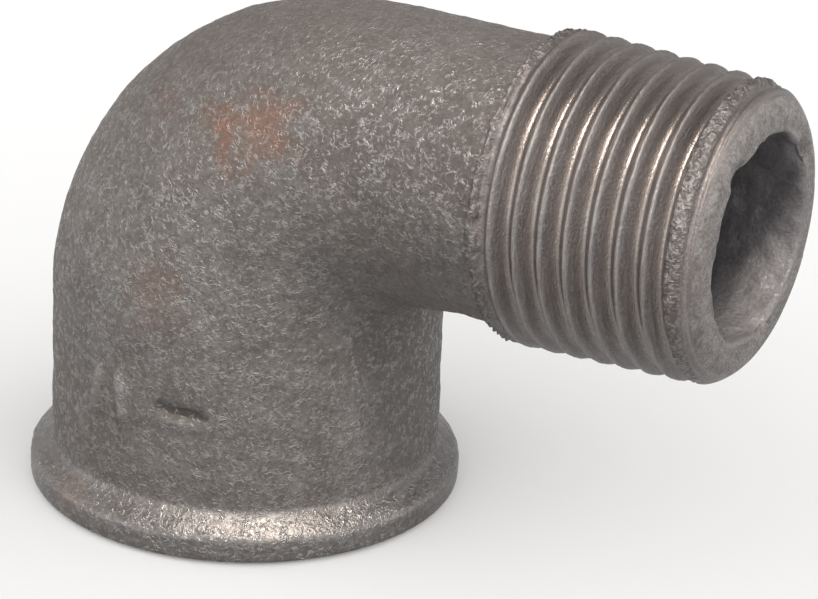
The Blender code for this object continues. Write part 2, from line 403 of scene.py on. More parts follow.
@dataclass(frozen=True)
class PipeThread:
    """A right-hand pipe thread of 55 degree form, inside or outside one limb.

    Places along it run from the end face into the fitting. The pairs last_groove, end_groove and last_crest
    say between which places, in pitches, the grooves near the end get shallower and the last crest is torn.
    The pairs torn_runout and torn_stop say how far before the stop the thread is torn again.
    """

    mark: Mark
    external: bool
    origin: Vector
    axis: Vector
    zero: Vector
    crest_radius: float
    taper: float
    stop: float
    plain_radius: float
    step_length: float
    end_length: float
    face_radius: float
    end_roundness: float
    phase: float
    pitch: float = 25.4 * MM / 14
    depth_per_pitch: float = 0.640327
    height_per_pitch: float = 0.960491
    crest_flat_share: float = 0.1
    crest_rounding_per_pitch: float = 0.05
    root_rounding_per_pitch: float = 0.5
    runout_turns: float = 1.2
    shares: tuple[float, ...] = (
        0.0, 0.08, 0.17, 0.27, 0.37, 0.43, 0.475, 0.525, 0.57, 0.63, 0.73, 0.83, 0.92,
    )
    swell_noise: float = 760.0
    tear_noise: float = 1700.0
    last_groove: tuple[float, float] = (1.6, 1.25)
    end_groove: tuple[float, float] = (0.95, 0.6)
    last_crest: tuple[float, float] = (0.4, 0.62)
    torn_runout: tuple[float, float] = (1.1 * MM, 0.4 * MM)
    torn_stop: tuple[float, float] = (-0.15 * MM, 0.1 * MM)
    torn_where: tuple[float, float] = (0.42, 0.68)
    torn_groove: tuple[float, float] = (0.5, 0.25)
    torn_paint_groove: tuple[float, float] = (0.5, 0.2)
    burr_where: tuple[float, float] = (0.45, 0.62)
    burr_place: float = 0.25 * MM
    burr_reach: float = 0.22 * MM
    sand_fade: float = 0.8 * MM
    swell: float = 0.0
    tear_height: float = 0.05 * MM
    end_tear: float = 3.0
    end_flat: float = 0.0
    lean: float = 0.0
    cast_from: float = 1.0
    wander: float = 0.0
    burr_height: float = 0.0
    seed: int = 3

    @property
    def depth(self) -> float:
        """How deep the grooves are."""
        return self.pitch * self.depth_per_pitch

    def place(self, along: float, radius: float, angle: float) -> Vector:
        """A point at a place along the thread, a radius and an angle."""
        arm = self.zero * math.cos(angle) + self.axis.cross(self.zero) * math.sin(angle)
        return self.origin + self.axis * along + arm * radius

    def column(self, skin: Skin, angle: float, start: float, stop: float, gap: float) -> Column:
        """Adds one column of points, each at the same place on its turn as its neighbours.

        Args:
            skin: The skin that gets the points.
            angle: The column's angle.
            start: Where the column starts.
            stop: Where it stops.
            gap: Room left free at both ends.

        Returns:
            The column.
        """
        lead = self.pitch * (self.phase + angle / (2 * math.pi))
        first = math.floor((start - lead) / self.pitch)
        last = math.ceil((stop - lead) / self.pitch)
        column = []
        for turn in range(first, last + 1):
            for share in self.shares:
                along = lead + (turn + share) * self.pitch
                if start + gap < along < stop - gap:
                    place = self.place(along, self.crest_radius, angle)
                    marks = {self.mark: 1.0, Mark.SAND: eased((along - self.cast_from) / self.sand_fade)}
                    column.append((along, skin.point(place, marks)))
        return column

    def build_tree(self, finishes: Mapping[Zone, bpy.types.Material]) -> GeometryTree:
        """Writes the tree that cuts the thread: it sets the radius of every point marked for it.

        Args:
            finishes: The material of each zone.

        Returns:
            The tree.
        """
        cutter = GeometryTree(f"cut_{self.mark.value}")
        g = cutter.graph
        origin, axis, zero = (cutter.ask(name, "Vector", (0, 0, 0)) for name in ("Origin", "Axis", "Zero"))
        names = (
            "Side", "Pitch", "Depth", "Height", "Crest Rounding", "Root Rounding", "Phase", "Crest Radius",
            "Taper", "Stop", "Runout", "Plain Radius", "Step Length", "End Length", "Face Radius",
            "End Roundness", "Swell", "Tear Height", "End Tear", "End Flat", "Lean", "Wander", "Burr Height",
        )
        ask = {name: cutter.ask(name, "Float", 0.0) for name in names}
        seed = cutter.ask("Seed", "Int", self.seed)

        position = g.add("GeometryNodeInputPosition").outputs[0]
        arm = g.vector("SUBTRACT", position, origin)
        along = g.measure("DOT_PRODUCT", arm, axis)
        side = g.vector("CROSS_PRODUCT", axis, zero)
        over = g.measure("DOT_PRODUCT", arm, zero)
        across = g.measure("DOT_PRODUCT", arm, side)
        turn = g.math("DIVIDE", g.math("ARCTAN2", across, over), 2 * math.pi)

        # The groove's depth at this place on its turn: a triangle wave with both its corners rounded.
        turned = g.math("SUBTRACT", g.math("DIVIDE", along, ask["Pitch"]), g.math("ADD", turn, ask["Phase"]))
        wave = g.math("ABSOLUTE", g.math("SUBTRACT", g.math("MULTIPLY", g.math("FRACT", turned), 2.0), 1.0))
        low = g.math("MULTIPLY", ask["Height"], -self.crest_flat_share)
        flank = g.math("MULTIPLY_ADD", wave, ask["Height"], low)
        near_end = g.step(along, *(turns * self.pitch for turns in self.last_groove))
        past_end = g.step(along, *(turns * self.pitch for turns in self.end_groove))
        shallower = g.math("ADD", near_end, past_end)
        flank = g.math("SUBTRACT", flank, g.math("MULTIPLY", shallower, ask["End Flat"]))
        rounded = g.math("SMOOTH_MAX", flank, 0.0, ask["Crest Rounding"])
        rounded = g.math("SMOOTH_MIN", rounded, ask["Depth"], ask["Root Rounding"])
        uneven = g.noise(position, self.swell_noise, 4.0, g.math("ADD", seed, 20.0), roughness=0.7)
        uneven = g.math("SUBTRACT", uneven, 0.5)
        to_stop = g.math("SUBTRACT", ask["Stop"], along)
        to_stop = g.math("SUBTRACT", to_stop, g.math("MULTIPLY", g.math("MAXIMUM", over, 0.0), ask["Lean"]))
        to_stop = g.math("MULTIPLY_ADD", uneven, g.math("MULTIPLY", ask["Wander"], 4.0), to_stop)
        fade = g.step(to_stop, 0.0, ask["Runout"])
        cut = g.math("MULTIPLY", g.math("MAXIMUM", rounded, 0.0), fade)

        # Crests are torn a little, more so on the last one, and less where the groove is deep.
        last_crest = g.step(along, *(turns * self.pitch for turns in self.last_crest))
        last_crest = g.math("MULTIPLY", near_end, last_crest)
        coarse = g.noise(position, self.tear_noise, 3.0, seed)
        at_end = g.math("MULTIPLY", last_crest, ask["End Tear"])
        tear = g.math("MULTIPLY", ask["Tear Height"], g.math("ADD", at_end, 1.0))
        tear = g.math("MULTIPLY", g.step(coarse, *self.torn_where), tear)
        groove = g.math("DIVIDE", cut, ask["Depth"])
        tear = g.math("MULTIPLY", tear, g.step(groove, *self.torn_groove))
        cut = g.math("ADD", cut, tear)

        # The blank that it is cut in: a taper that steps to the plain stretch where the thread stops.
        crest = g.math("MULTIPLY_ADD", along, ask["Taper"], ask["Crest Radius"])
        crest = g.math("MULTIPLY_ADD", g.step(along, 0.0, ask["Stop"]), ask["Swell"], crest)
        blank = g.blend(g.step(to_stop, 0.0, ask["Step Length"]), ask["Plain Radius"], crest)
        radius = g.math("SUBTRACT", blank, g.math("MULTIPLY", cut, ask["Side"]))

        # The burr that the die pushes up where it stops.
        past_burr = g.math("ABSOLUTE", g.math("SUBTRACT", to_stop, self.burr_place))
        burr = g.math("MULTIPLY", g.step(past_burr, self.burr_reach, 0.0), g.step(coarse, *self.burr_where))
        radius = g.math("MULTIPLY_ADD", burr, g.math("MULTIPLY", ask["Burr Height"], ask["Side"]), radius)

        # The rounded or chamfered end, which grows out of the way past its length.
        past = g.math("SUBTRACT", along, ask["End Length"])
        share = g.math("DIVIDE", g.math("MULTIPLY", past, -1.0), ask["End Length"], clamp=True)
        bulge = g.math("SUBTRACT", 1.0, g.math("POWER", share, ask["End Roundness"]))
        kept = g.math("POWER", g.math("MAXIMUM", bulge, 0.0), g.math("DIVIDE", 1.0, ask["End Roundness"]))
        shoulder = g.math("MULTIPLY_ADD", ask["End Length"], ask["Taper"], ask["Crest Radius"])
        limit = g.blend(kept, ask["Face Radius"], shoulder)
        clear = g.math("MULTIPLY", g.math("MAXIMUM", past, 0.0), g.math("MULTIPLY", ask["Side"], 10.0))
        limit = g.math("ADD", limit, clear)
        blank_side, limit_side = (g.math("MULTIPLY", size, ask["Side"]) for size in (radius, limit))
        radius = g.math("MULTIPLY", g.math("MINIMUM", blank_side, limit_side), ask["Side"])

        outward = g.vector("NORMALIZE", g.vector("ADD", g.scaled(zero, over), g.scaled(side, across)))
        middle = g.vector("ADD", origin, g.scaled(axis, along))
        new = g.vector("ADD", middle, g.scaled(outward, radius))
        marked = cutter.attribute(self.mark)
        groove_mark = g.blend(marked, cutter.attribute(Mark.GROOVE), groove)
        shown = cutter.store(cutter.entry.outputs["Geometry"], Mark.GROOVE, groove_mark)
        runout = g.math("MULTIPLY", g.step(to_stop, *self.torn_runout), g.step(to_stop, *self.torn_stop))
        torn = g.math("MULTIPLY", g.math("MAXIMUM", last_crest, runout), marked)
        torn = g.math("MULTIPLY", torn, g.step(groove, *self.torn_paint_groove))
        torn = g.math("MAXIMUM", torn, cutter.attribute(Mark.TORN))
        shown = cutter.store(shown, Mark.TORN, torn)
        inputs = {"Geometry": shown, "Selection": marked, "Position": new}
        cutter.end(g.add("GeometryNodeSetPosition", inputs).outputs[0], finishes)
        return cutter

    def cut(self, piece: bpy.types.Object, finishes: Mapping[Zone, bpy.types.Material]) -> None:
        """Cuts the thread in a piece.

        Args:
            piece: The casting.
            finishes: The material of each zone.
        """
        values = {
            "Origin": self.origin, "Axis": self.axis, "Zero": self.zero,
            "Side": 1.0 if self.external else -1.0,
            "Pitch": self.pitch, "Depth": self.depth, "Height": self.pitch * self.height_per_pitch,
            "Crest Rounding": self.pitch * self.crest_rounding_per_pitch,
            "Root Rounding": self.pitch * self.root_rounding_per_pitch, "Phase": self.phase,
            "Crest Radius": self.crest_radius, "Taper": self.taper, "Stop": self.stop,
            "Runout": self.pitch * self.runout_turns, "Plain Radius": self.plain_radius,
            "Step Length": self.step_length, "End Length": self.end_length, "Face Radius": self.face_radius,
            "End Roundness": self.end_roundness, "Tear Height": self.tear_height, "End Tear": self.end_tear,
            "End Flat": self.end_flat, "Lean": self.lean,
            "Swell": self.swell, "Wander": self.wander, "Burr Height": self.burr_height, "Seed": self.seed,
        }
        self.build_tree(finishes).run(piece, values)


@dataclass(frozen=True)
class FoundryBar:
    """A plain round-ended bar on the socket's side, raised or sunk in the mould."""

    angle: float
    height: float
    length: float
    tilt: float
    width: float = 0.95 * MM
    relief: float = 0.3 * MM


@dataclass(frozen=True)
class Nick:
    """A place where the metal has broken away. Its middle and radius are in millimetres."""

    middle: tuple[float, float, float]
    radius: float
    depth: float


@dataclass(frozen=True)
class SandSkin:
    """The skin that the mould leaves: soft lumps, fine pebbles, the cored bore's coarse sand, and bars."""

    body_radius: float
    bars: tuple[FoundryBar, ...]
    nicks: tuple[Nick, ...]
    lump_height: float = 0.16 * MM
    lump_size: float = 3.2 * MM
    pebble_height: float = 0.10 * MM
    pebble_size: float = 0.62 * MM
    core_height: float = 0.32 * MM
    core_size: float = 1.2 * MM
    ragged_height: float = 0.6 * MM
    ragged_size: float = 2.2 * MM
    bar_edge: tuple[float, float] = (0.62, 0.18)
    nick_floor: float = 0.3
    seed: int = 11

    def bar_group(self) -> bpy.types.NodeTree:
        """Writes the group that gives one bar's relief at a place on the unrolled side.

        Returns:
            The group.
        """
        group = bpy.data.node_groups.new("foundry_bar", "GeometryNodeTree")
        names = ("Around", "Height", "Middle Around", "Middle Height", "Length", "Tilt", "Width", "Relief")
        for name in names:
            group.interface.new_socket(name, in_out="INPUT", socket_type="NodeSocketFloat")
        group.interface.new_socket("Offset", in_out="OUTPUT", socket_type="NodeSocketFloat")
        g = Graph(group)
        ask = g.add("NodeGroupInput").outputs
        around = g.math("SUBTRACT", ask["Around"], ask["Middle Around"])
        height = g.math("SUBTRACT", ask["Height"], ask["Middle Height"])
        cosine, sine = g.math("COSINE", ask["Tilt"]), g.math("SINE", ask["Tilt"])
        run = g.math("ADD", g.math("MULTIPLY", around, cosine), g.math("MULTIPLY", height, sine))
        off = g.math("SUBTRACT", g.math("MULTIPLY", height, cosine), g.math("MULTIPLY", around, sine))
        half = g.math("DIVIDE", g.math("SUBTRACT", ask["Length"], ask["Width"]), 2.0)
        past = g.math("MAXIMUM", g.math("SUBTRACT", g.math("ABSOLUTE", run), half), 0.0)
        square = g.math("ADD", g.math("MULTIPLY", past, past), g.math("MULTIPLY", off, off))
        edges = (g.math("MULTIPLY", ask["Width"], share) for share in self.bar_edge)
        shape = g.step(g.math("SQRT", square), *edges)
        g.add("NodeGroupOutput", {"Offset": g.math("MULTIPLY", shape, ask["Relief"])})
        return group

    def build_tree(self, finishes: Mapping[Zone, bpy.types.Material]) -> GeometryTree:
        """Writes the tree that roughens the skin.

        Args:
            finishes: The material of each zone.

        Returns:
            The tree.
        """
        caster = GeometryTree("sand_skin")
        g = caster.graph
        names = (
            "Lump Height", "Lump Size", "Pebble Height", "Pebble Size", "Core Height", "Core Size",
            "Ragged Height", "Ragged Size", "Body Radius",
        )
        ask = {name: caster.ask(name, "Float", 0.001) for name in names}
        seed = caster.ask("Seed", "Int", self.seed)
        position = g.add("GeometryNodeInputPosition").outputs[0]

        def bumps(name: str, detail: float, shift: float) -> bpy.types.NodeSocket:
            """Noise of one named height and size, centred on nought.

            Args:
                name: The start of both inputs' names.
                detail: How many finer layers it has.
                shift: Added to the seed.

            Returns:
                The noise.
            """
            scale = g.math("DIVIDE", 1.0, ask[f"{name} Size"])
            uneven = g.math("SUBTRACT", g.noise(position, scale, detail, g.math("ADD", seed, shift)), 0.5)
            return g.math("MULTIPLY", uneven, g.math("MULTIPLY", ask[f"{name} Height"], 2.0))

        fine = bumps("Pebble", 3.0, 0.0)
        sand = g.math("ADD", bumps("Lump", 2.0, 5.0), fine)
        core = g.math("ADD", bumps("Core", 4.0, 9.0), fine)
        ragged = bumps("Ragged", 4.0, 13.0)

        parts = g.add("ShaderNodeSeparateXYZ", {0: position}).outputs
        around = g.math("MULTIPLY", g.math("ARCTAN2", parts[1], parts[0]), ask["Body Radius"])
        bar_group = self.bar_group()
        bars = None
        for bar in self.bars:
            inputs = {
                "Around": around, "Height": parts[2],
                "Middle Around": math.radians(bar.angle) * self.body_radius, "Middle Height": bar.height,
                "Length": bar.length, "Tilt": math.radians(bar.tilt), "Width": bar.width,
                "Relief": bar.relief,
            }
            offset = g.add("GeometryNodeGroup", node_tree=bar_group)
            for name, value in inputs.items():
                g.feed(offset.inputs[name], value)
            bars = offset.outputs[0] if bars is None else g.math("ADD", bars, offset.outputs[0])

        on_sand, on_core = caster.attribute(Mark.SAND), caster.attribute(Mark.CORE)
        push = g.math("MULTIPLY", g.math("ADD", sand, bars), on_sand)
        push = g.math("ADD", push, g.math("MULTIPLY", core, on_core))
        push = g.math("ADD", push, g.math("MULTIPLY", ragged, caster.attribute(Mark.MOUTH)))
        for nick in self.nicks:
            gap = g.measure("DISTANCE", position, Vector(nick.middle) * MM)
            bite = g.step(gap, nick.radius * MM, nick.radius * self.nick_floor * MM)
            push = g.math("MULTIPLY_ADD", bite, -nick.depth * MM, push)
        normal = g.add("GeometryNodeInputNormal").outputs[0]
        relief = g.math("DIVIDE", push, ask["Pebble Height"])
        shown = caster.store(caster.entry.outputs["Geometry"], Mark.RELIEF, relief)
        moved = g.add("GeometryNodeSetPosition", {"Geometry": shown, "Offset": g.scaled(normal, push)})
        caster.end(moved.outputs[0], finishes)
        return caster

    def cast(self, piece: bpy.types.Object, finishes: Mapping[Zone, bpy.types.Material]) -> None:
        """Roughens a piece.

        Args:
            piece: The casting.
            finishes: The material of each zone.
        """
        values = {
            "Lump Height": self.lump_height, "Lump Size": self.lump_size,
            "Pebble Height": self.pebble_height, "Pebble Size": self.pebble_size,
            "Core Height": self.core_height, "Core Size": self.core_size,
            "Ragged Height": self.ragged_height, "Ragged Size": self.ragged_size,
            "Body Radius": self.body_radius, "Seed": self.seed,
        }
        self.build_tree(finishes).run(piece, values)


@dataclass(frozen=True)
class Finish(ABC):
    """A procedural finish. Its patterns read Object coordinates in millimetres."""

    name: str
    metallic: float

    @abstractmethod
    def paint(self, g: Graph, mm: bpy.types.NodeSocket) -> tuple[Any, Any, Any, float]:
        """Writes the finish's pattern.

        Args:
            g: The material's nodes.
            mm: Object coordinates in millimetres.

        Returns:
            The colour, the roughness, the bump's height and its depth in metres.
        """

    def build(self) -> bpy.types.Material:
        """Makes the material.

        Returns:
            The material.
        """
        material = bpy.data.materials.new(self.name)
        material.use_nodes = True
        g = Graph(material.node_tree)
        shader = material.node_tree.nodes["Principled BSDF"]
        shader.inputs["Metallic"].default_value = self.metallic
        place = g.add("ShaderNodeTexCoord").outputs["Object"]
        colour, roughness, height, depth = self.paint(g, g.scaled(place, 1 / MM))
        g.feed(shader.inputs["Base Color"], colour)
        g.feed(shader.inputs["Roughness"], roughness)
        bump = g.add("ShaderNodeBump", {"Height": height, "Distance": depth, "Strength": 1.0})
        g.feed(shader.inputs["Normal"], bump.outputs[0])
        return material

    def attribute(self, g: Graph, mark: Mark) -> bpy.types.NodeSocket:
        """Reads one of the skin's attributes."""
        return g.add("ShaderNodeAttribute", attribute_name=mark.value).outputs["Fac"]


@dataclass(frozen=True)
class RustSpot:
    """A soft rust-brown stain, its middle and radius in millimetres."""

    middle: Colour
    radius: float
    strength: float


@dataclass(frozen=True)
class CastIron(Finish):
    """As-cast malleable iron: mottled grey-brown with light specks, fine grain and a little rust, with
    painted shade towards the top, round the neck and in the hollows, and painted glints by the neck.
    """

    dark: Colour = (0.078, 0.070, 0.065)
    light: Colour = (0.137, 0.130, 0.126)
    speck: Colour = (0.285, 0.292, 0.296)
    patch: Colour = (0.092, 0.075, 0.064)
    # The next colour is painted shade, laid over the upper part and round the neck.
    painted_shade: Colour = (0.056, 0.046, 0.041)
    painted_shade_share: float = 0.3
    painted_shade_heights: tuple[float, float] = (23.0, 34.0)
    # Where the neck's painted shade and painted glints sit, and how far they reach.
    painted_neck_middle: Colour = (18.5, -9.0, 32.0)
    painted_neck_reach: tuple[float, float] = (10.0, 3.0)
    rust_colour: Colour = (0.165, 0.076, 0.045)
    rust: tuple[RustSpot, ...] = ()
    grain_scale: float = 3.2
    mottle_scale: float = 0.75
    patch_scale: float = 0.13
    worm_scale: float = 2.1
    broken_scale: float = 2.3
    ridge_width: float = 0.095
    patch_share: float = 0.3
    stroke_share: float = 0.27
    neck_painted_glint_share: float = 0.1
    neck_painted_shade_share: float = 0.15
    # How much the relief darkens the hollows and lightens the lumps: painted shade, with dirt in the
    # hollows.
    hollow_shade_and_dirt_share: float = 0.035
    rust_wander: float = 1.7
    rust_core: float = 0.15
    rough_low: float = 0.25
    rough_high: float = 0.78
    rough_rubbed: tuple[float, float] = (0.4, 0.24)
    rubbed_height: float = 4.2
    grain_depth: float = 0.12 * MM

    def paint(self, g: Graph, mm: bpy.types.NodeSocket) -> tuple[Any, Any, Any, float]:
        """Writes grain, mottle, short light strokes, stains, painted shade and painted glints.

        Args:
            g: The material's nodes.
            mm: Object coordinates in millimetres.

        Returns:
            The colour, the roughness, the bump's height and its depth in metres.
        """
        grain = g.noise(mm, self.grain_scale, 5.0, 1.0, roughness=0.62, distortion=0.6)
        mottle = g.noise(mm, self.mottle_scale, 3.0, 2.0)
        patch = g.noise(mm, self.patch_scale, 2.0, 3.0)
        worm = g.noise(mm, self.worm_scale, 2.0, 4.0, distortion=0.8)
        ridge = g.step(g.math("ABSOLUTE", g.math("SUBTRACT", worm, 0.5)), self.ridge_width, 0.0)
        broken = g.step(g.noise(mm, self.broken_scale, 2.0, 12.0), 0.42, 0.62)
        stroke = g.math("MULTIPLY", ridge, broken)
        tone = g.math("ADD", g.math("MULTIPLY", grain, 0.7), g.math("MULTIPLY", mottle, 0.3))
        # Painted shade in the hollows, with dirt there, and a painted lighter tone on the raised lumps.
        hollow_shade_and_dirt = g.math("MULTIPLY", self.attribute(g, Mark.RELIEF), self.hollow_shade_and_dirt_share)
        tone = g.math("ADD", tone, hollow_shade_and_dirt)
        colour = g.tint(g.step(tone, 0.34, 0.68), self.dark, self.light)
        patched = g.math("MULTIPLY", g.step(patch, 0.45, 0.7), self.patch_share)
        colour = g.tint(patched, colour, self.patch)
        height_mm = g.add("ShaderNodeSeparateXYZ", {0: mm}).outputs[2]
        # Painted shade: darker towards the top of the casting.
        high = g.step(height_mm, *self.painted_shade_heights)
        colour = g.tint(g.math("MULTIPLY", high, self.painted_shade_share), colour, self.painted_shade)
        # Painted shade round the neck, and more light strokes there as painted glints.
        neck_shade_and_glints = g.step(g.measure("DISTANCE", mm, self.painted_neck_middle), *self.painted_neck_reach)
        colour = g.tint(g.math("MULTIPLY", neck_shade_and_glints, self.neck_painted_shade_share), colour, self.painted_shade)
        stroke_share = g.math("MULTIPLY_ADD", neck_shade_and_glints, self.neck_painted_glint_share, self.stroke_share)
        colour = g.tint(g.math("MULTIPLY", stroke, stroke_share), colour, self.speck)
        for spot in self.rust:
            gap = g.measure("DISTANCE", mm, spot.middle)
            uneven = g.math("MULTIPLY", g.math("SUBTRACT", mottle, 0.5), spot.radius * self.rust_wander)
            inside = g.step(g.math("ADD", gap, uneven), spot.radius, spot.radius * self.rust_core)
            share = g.math("MULTIPLY", inside, spot.strength)
            colour = g.tint(share, colour, self.rust_colour)
        # The bead is rubbed smoother than the rest.
        rubbed = g.step(height_mm, self.rubbed_height, self.rubbed_height * 0.6)
        ground = g.blend(rubbed, self.rough_high, g.blend(mottle, *self.rough_rubbed))
        rough = g.blend(stroke, ground, self.rough_low)
        height = g.math("ADD", g.math("MULTIPLY", grain, 0.7), g.math("MULTIPLY", stroke, 0.3))
        return colour, rough, height, self.grain_depth


@dataclass(frozen=True)
class CutThread(Finish):
    """Threads cut in iron: dark flanks with fine marks round the axis, thin crests painted bright as worn
    metal with a painted highlight, a paler bottom, and painted shade towards the top.
    """

    across: Colour
    flank: Colour = (0.101, 0.089, 0.087)
    # The crests' lighter colour: worn metal with a painted highlight along the crest lines.
    crest: Colour = (0.172, 0.168, 0.162)
    streak: Colour = (0.142, 0.129, 0.125)
    fleck: Colour = (0.240, 0.235, 0.228)
    root: Colour = (0.260, 0.226, 0.206)
    # Paler towards the bottom of the thread.
    lower_pale: Colour = (0.200, 0.194, 0.190)
    # Painted shade, towards the top and where the metal is torn.
    painted_shade: Colour = (0.055, 0.047, 0.045)
    grain_scale: float = 5.6
    chip_scale: float = 2.8
    crest_highlight_groove: tuple[float, float] = (0.2, 0.03)
    crest_highlight_share: float = 0.75
    fleck_share: float = 0.45
    root_share: float = 0.45
    lower_pale_share: float = 0.35
    painted_shade_share: float = 0.45
    torn_dark_and_shade_share: float = 0.7
    chip_share: float = 0.4
    chip_height: float = 1.6
    rough_root: tuple[float, float] = (0.42, 0.2)
    rough_flank: tuple[float, float] = (0.54, 0.34)
    rough_torn: float = 0.46
    root_smoothness: float = 0.35
    root_groove: tuple[float, float] = (0.45, 0.8)
    lower_pale_heights: tuple[float, float] = (25.0, 15.0)
    painted_shade_heights: tuple[float, float] = (32.0, 38.0)
    mark_depth: float = 0.12 * MM

    def paint(self, g: Graph, mm: bpy.types.NodeSocket) -> tuple[Any, Any, Any, float]:
        """Writes the turning marks, the crests with their painted highlight, the paler bottom and the
        painted shade.

        Args:
            g: The material's nodes.
            mm: Object coordinates in millimetres.

        Returns:
            The colour, the roughness, the bump's height and its depth in metres.
        """
        ringed = g.vector("MULTIPLY", mm, self.across)
        marks = g.noise(ringed, 1.0, 4.0, 5.0, roughness=0.66)
        fine = g.noise(ringed, 3.0, 3.0, 6.0)
        grain = g.noise(mm, self.grain_scale, 4.0, 7.0, roughness=0.66)
        groove = self.attribute(g, Mark.GROOVE)
        torn = self.attribute(g, Mark.TORN)
        # The crests are painted lighter: worn metal, with a painted highlight along the crest lines.
        wavy = g.math("ADD", groove, g.math("MULTIPLY", g.math("SUBTRACT", grain, 0.5), 0.22))
        crest_highlight = g.math("MULTIPLY", g.step(wavy, *self.crest_highlight_groove), g.step(marks, 0.34, 0.6))
        crest_highlight = g.math("MULTIPLY", crest_highlight, g.math("SUBTRACT", 1.0, torn))
        colour = g.tint(g.step(marks, 0.42, 0.66), self.flank, self.streak)
        colour = g.tint(g.math("MULTIPLY", crest_highlight, self.crest_highlight_share), colour, self.crest)
        flecked = g.math("MULTIPLY", g.step(grain, 0.48, 0.68), self.fleck_share)
        colour = g.tint(flecked, colour, self.fleck)
        height_mm = g.add("ShaderNodeSeparateXYZ", {0: mm}).outputs[2]
        burnished = g.step(groove, *self.root_groove)
        low, high = g.step(height_mm, *self.lower_pale_heights), g.step(height_mm, *self.painted_shade_heights)
        colour = g.tint(g.math("MULTIPLY", burnished, self.root_share), colour, self.root)
        # Paler towards the bottom of the thread.
        colour = g.tint(g.math("MULTIPLY", low, self.lower_pale_share), colour, self.lower_pale)
        # Painted shade towards the top of the thread.
        colour = g.tint(g.math("MULTIPLY", high, self.painted_shade_share), colour, self.painted_shade)
        # Torn metal painted darker: its own darker colour, and painted shade on the stretch by the neck that
        # faces the lamp.
        colour = g.tint(g.math("MULTIPLY", torn, self.torn_dark_and_shade_share), colour, self.painted_shade)
        chips = g.noise(mm, self.chip_scale, 3.0, 14.0, distortion=1.0)
        chipped = g.math("MULTIPLY", torn, g.step(chips, 0.44, 0.6))
        colour = g.tint(g.math("MULTIPLY", chipped, self.chip_share), colour, self.fleck)
        smooth, dull = g.blend(burnished, *self.rough_root), g.blend(burnished, *self.rough_flank)
        rough = g.blend(g.step(fine, 0.3, 0.7), dull, smooth)
        height = g.math("ADD", g.math("MULTIPLY", marks, 0.4), g.math("MULTIPLY", grain, 0.6))
        height = g.math("MULTIPLY", height, g.math("MULTIPLY_ADD", burnished, -self.root_smoothness, 1.0))
        torn_height = g.math("MULTIPLY", g.math("MULTIPLY", chips, torn), self.chip_height)
        height = g.math("ADD", height, torn_height)
        rough = g.blend(torn, rough, self.rough_torn)
        return colour, rough, height, self.mark_depth


@dataclass(frozen=True)
class FacedIron(Finish):
    """Turned end faces: a fine mottle."""

    dark: Colour = (0.086, 0.076, 0.073)
    light: Colour = (0.182, 0.173, 0.165)
    grain_scale: float = 5.2
    mottle_scale: float = 1.1
    rough: tuple[float, float] = (0.62, 0.42)
    mark_depth: float = 0.08 * MM

    def paint(self, g: Graph, mm: bpy.types.NodeSocket) -> tuple[Any, Any, Any, float]:
        """Writes the mottle.

        Args:
            g: The material's nodes.
            mm: Object coordinates in millimetres.

        Returns:
            The colour, the roughness, the bump's height and its depth in metres.
        """
        grain = g.noise(mm, self.grain_scale, 4.0, 8.0, roughness=0.66)
        mottle = g.noise(mm, self.mottle_scale, 3.0, 9.0)
        tone = g.math("ADD", g.math("MULTIPLY", grain, 0.65), g.math("MULTIPLY", mottle, 0.35))
        colour = g.tint(g.step(tone, 0.36, 0.66), self.dark, self.light)
        rough = g.blend(g.step(grain, 0.35, 0.65), *self.rough)
        return colour, rough, grain, self.mark_depth


@dataclass(frozen=True)
class CoredIron(Finish):
    """The bore as the sand core left it: dark, dusty and coarse."""

    dark: Colour = (0.094, 0.090, 0.098)
    light: Colour = (0.128, 0.121, 0.119)
    grain_scale: float = 3.4
    glint_scale: float = 3.6
    rough: tuple[float, float] = (0.7, 0.4)
    grain_depth: float = 0.08 * MM

    def paint(self, g: Graph, mm: bpy.types.NodeSocket) -> tuple[Any, Any, Any, float]:
        """Writes the coarse grain.

        Args:
            g: The material's nodes.
            mm: Object coordinates in millimetres.

        Returns:
            The colour, the roughness, the bump's height and its depth in metres.
        """
        grain = g.noise(mm, self.grain_scale, 5.0, 10.0, roughness=0.62)
        glint = g.noise(mm, self.glint_scale, 2.0, 11.0)
        colour = g.tint(g.step(grain, 0.36, 0.68), self.dark, self.light)
        rough = g.blend(g.step(glint, 0.5, 0.7), *self.rough)
        return colour, rough, grain, self.grain_depth


